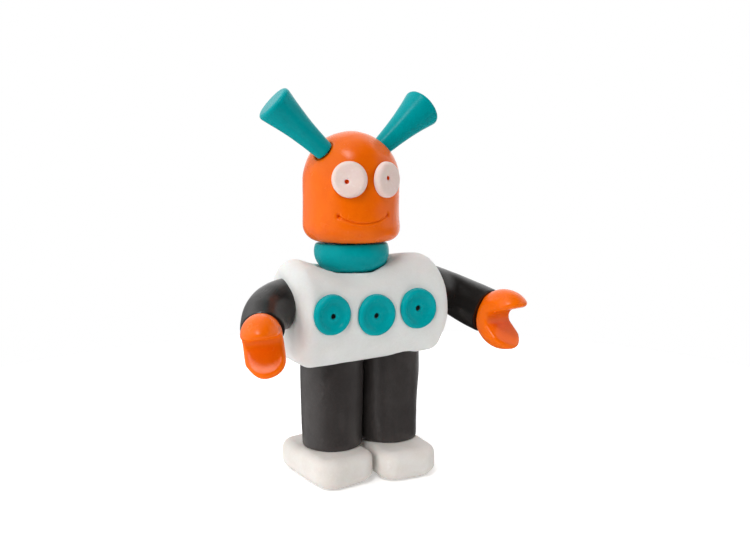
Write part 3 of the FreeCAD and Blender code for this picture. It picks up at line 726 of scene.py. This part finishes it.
def make_floor():
    """A round sheet of white paper, as bright as the background round it."""
    flat = bmesh.new()
    bmesh.ops.create_circle(flat, cap_ends=True, segments=96, radius=FLOOR_RADIUS)
    mesh = bpy.data.meshes.new("floor")
    flat.to_mesh(mesh)
    flat.free()
    floor = bpy.data.objects.new("floor", mesh)
    bpy.context.scene.collection.objects.link(floor)
    floor.location = (0.0, 0.0, -FLOOR_DROP)
    made = Nodes("floor_paper")
    tone = made.blend(made.noise(40.0), (0.93, 0.93, 0.93), (0.95, 0.95, 0.95))
    made.link(tone, made.shader.inputs["Base Color"])
    made.shader.inputs["Roughness"].default_value = 0.9
    made.shader.inputs["Specular IOR Level"].default_value = 0.1
    made.shader.inputs["Emission Color"].default_value = (1.0, 1.0, 1.0, 1.0)
    made.shader.inputs["Emission Strength"].default_value = FLOOR_GLOW
    mesh.materials.append(made.material)
    floor.visible_glossy = False


def sun(name, toward, power, spread, mirrored=True):
    """A far soft light: toward is the way to it, spread its width in degrees.

    The clay shows a highlight of it only where it is mirrored.
    """
    lamp = bpy.data.lights.new(name, "SUN")
    lamp.energy = power
    lamp.angle = math.radians(spread)
    light = bpy.data.objects.new(name, lamp)
    bpy.context.scene.collection.objects.link(light)
    light.visible_glossy = mirrored
    light.location = FOOT + Vector(toward) * LAMP_DISTANCE
    light.rotation_euler = Vector(toward).to_track_quat("Z", "Y").to_euler()


def make_room(base, glows):
    """A dim room with soft bright walls for the clay to mirror; the paper behind stays white.

    Each glow is the way to it, the cosines of the angles at which it starts and is full, and
    its brightness.
    """
    world = bpy.data.worlds.new("room")
    bpy.context.scene.world = world
    world.use_nodes = True
    tree = world.node_tree
    tree.nodes.clear()
    out = tree.nodes.new("ShaderNodeOutputWorld")
    where = tree.nodes.new("ShaderNodeTexCoord")
    total = None
    for toward, start, full, level in glows:
        facing = tree.nodes.new("ShaderNodeVectorMath")
        facing.operation = "DOT_PRODUCT"
        facing.inputs[1].default_value = Vector(toward).normalized()
        tree.links.new(where.outputs["Generated"], facing.inputs[0])
        wall = tree.nodes.new("ShaderNodeMapRange")
        wall.interpolation_type = "SMOOTHSTEP"
        for name, number in (("From Min", start), ("From Max", full),
                             ("To Min", 0.0), ("To Max", level)):
            wall.inputs[name].default_value = number
        tree.links.new(facing.outputs["Value"], wall.inputs["Value"])
        adding = tree.nodes.new("ShaderNodeMath")
        tree.links.new(wall.outputs["Result"], adding.inputs[0])
        if total is None:
            adding.inputs[1].default_value = base
        else:
            tree.links.new(total, adding.inputs[1])
        total = adding.outputs["Value"]
    room = tree.nodes.new("ShaderNodeBackground")
    tree.links.new(total, room.inputs["Strength"])
    paper = tree.nodes.new("ShaderNodeBackground")
    seen = tree.nodes.new("ShaderNodeLightPath")
    either = tree.nodes.new("ShaderNodeMixShader")
    tree.links.new(seen.outputs["Is Camera Ray"], either.inputs["Fac"])
    tree.links.new(room.outputs["Background"], either.inputs[1])
    tree.links.new(paper.outputs["Background"], either.inputs[2])
    tree.links.new(either.outputs["Shader"], out.inputs["Surface"])
    for node in (room, paper):
        node.inputs["Color"].default_value = (1.0, 1.0, 1.0, 1.0)


make_floor()
ROOM_BASE = 0.02
ROOM_GLOWS = [((-0.88, 0.36, 0.12), 0.30, 0.86, 0.85),
              ((-0.42, 0.26, 0.86), 0.55, 0.95, 0.75),
              ((0.62, 0.70, 0.36), 0.55, 0.95, 1.20),
              ((0.88, -0.35, 0.28), 0.80, 0.97, 0.90)]
make_room(ROOM_BASE, ROOM_GLOWS)
sun("top", (-0.40, -0.43, 0.81), 1.10, 17.0)
sun("key", (-0.92, -0.30, 0.30), 0.68, 34.0, mirrored=False)
sun("above", (0.05, 0.15, 1.00), 0.36, 40.0, mirrored=False)
sun("fill", (0.60, -0.78, 0.10), 0.30, 30.0, mirrored=False)
